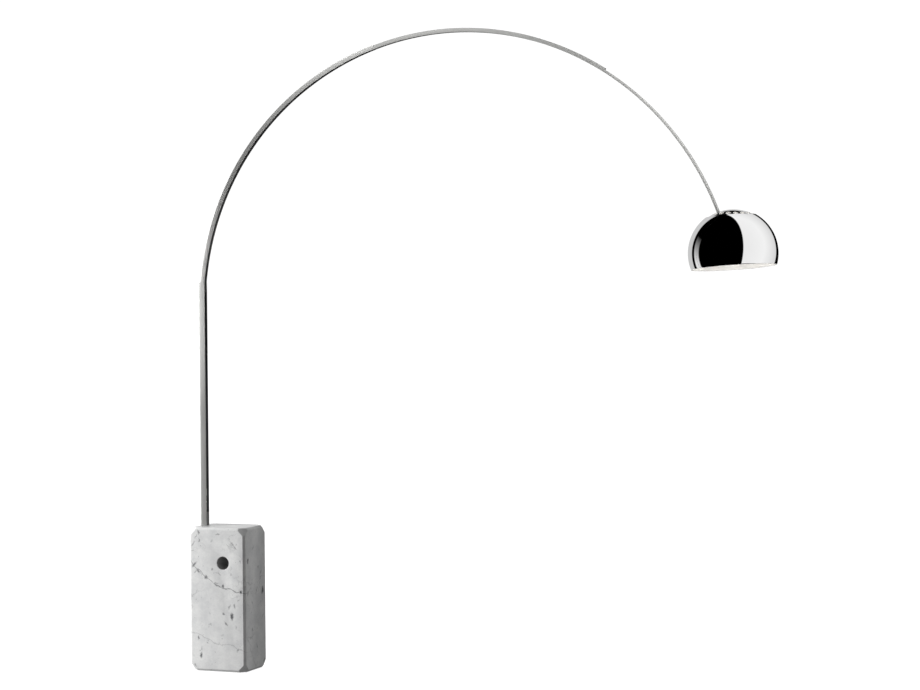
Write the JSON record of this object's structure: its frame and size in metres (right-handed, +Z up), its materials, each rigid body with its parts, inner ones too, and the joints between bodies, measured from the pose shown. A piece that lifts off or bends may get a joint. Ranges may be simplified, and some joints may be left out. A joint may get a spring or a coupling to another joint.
{
  "type": "arc floor lamp",
  "caption": "Floor lamp with a tall marble block, a steel stem, a telescoping steel arc and a bright dome shade hanging from a vented cap.",
  "frame": {"origin": "centre of the marble block's underside, at floor level", "axes": "+Z up, +X out from the block under the arc to the shade, +Y to the side"},
  "size_m": [2.2809, 0.3177, 2.4145],
  "materials": {
    "marble": "polished white marble with grey veins",
    "satin_steel": "satin, brushed along the length",
    "bright_dome": "mirror polished outside, white enamel inside",
    "nylon": "matt",
    "rubber": "matt",
    "lead_sheath": "satin PVC",
    "porcelain": "glazed",
    "brass": "turned",
    "bakelite": "moulded, glossy",
    "bulb_glass": "frosted",
    "bulb_metal": "rolled thread",
    "zinc_steel": "zinc plated"
  },
  "bodies": {
    "base": {"arc_section_1": "satin_steel", "cable_outlet": "rubber", "coupler_screw_1": "zinc_steel", "coupler_screw_2": "zinc_steel", "foot_screw_1": "zinc_steel", "foot_screw_2": "zinc_steel", "lock_screw_1_1": "zinc_steel", "lock_screw_1_2": "zinc_steel", "marble_base": "marble", "section_1_screw_1": "zinc_steel", "section_1_screw_2": "zinc_steel", "stem": "satin_steel", "stem_coupler": "zinc_steel", "stem_foot_block": "zinc_steel", "stem_lead": "lead_sheath", "terminal_block": "porcelain", "terminal_screw_1": "brass", "terminal_screw_2": "brass", "terminal_screw_3": "brass", "tie_rod": "zinc_steel", "tie_rod_nut": "zinc_steel", "tie_rod_washer": "zinc_steel"},
    "mid_arm": {"arc_section_2": "satin_steel", "lock_screw_2_1": "zinc_steel", "lock_screw_2_2": "zinc_steel", "mouth_slide": "nylon"},
    "end_arm": {"arc_section_3": "satin_steel", "tail_slide": "nylon", "arm_lead": "lead_sheath", "head_lead": "lead_sheath", "head_bracket": "zinc_steel", "head_screw_1": "zinc_steel", "head_screw_2": "zinc_steel", "vent_cap": "bright_dome", "cap_stud": "zinc_steel", "stud_nut_upper": "zinc_steel", "stud_nut_lower": "zinc_steel", "holder_nut": "zinc_steel", "lampholder_cap": "bakelite", "lampholder_barrel": "bakelite", "thread_shell": "brass", "contact_block": "porcelain", "centre_contact": "brass", "bulb_cap": "bulb_metal", "bulb_glass": "bulb_glass"},
    "glide": {"glide_ring": "nylon"},
    "shade_dome": {"shade": "bright_dome"}
  },
  "joints": [
    {"name": "arc_slide_lower", "type": "hinge", "parent": "base", "child": "mid_arm", "pos_m": [0.949, 0, 1.332], "axis": [0, 1, 0], "range_deg": [-12, 6]},
    {"name": "arc_slide_upper", "type": "hinge", "parent": "mid_arm", "child": "end_arm", "pos_m": [0.949, 0, 1.332], "axis": [0, 1, 0], "range_deg": [-10, 6]},
    {"name": "shade_tilt", "type": "hinge", "parent": "end_arm", "child": "glide", "pos_m": [2.004, 0, 1.567], "axis": [0, 1, 0], "range_deg": [-4, 12]},
    {"name": "shade_roll", "type": "hinge", "parent": "glide", "child": "shade_dome", "pos_m": [2.004, 0, 1.567], "axis": [1, 0, 0], "range_deg": [-6, 9]}
  ]
}
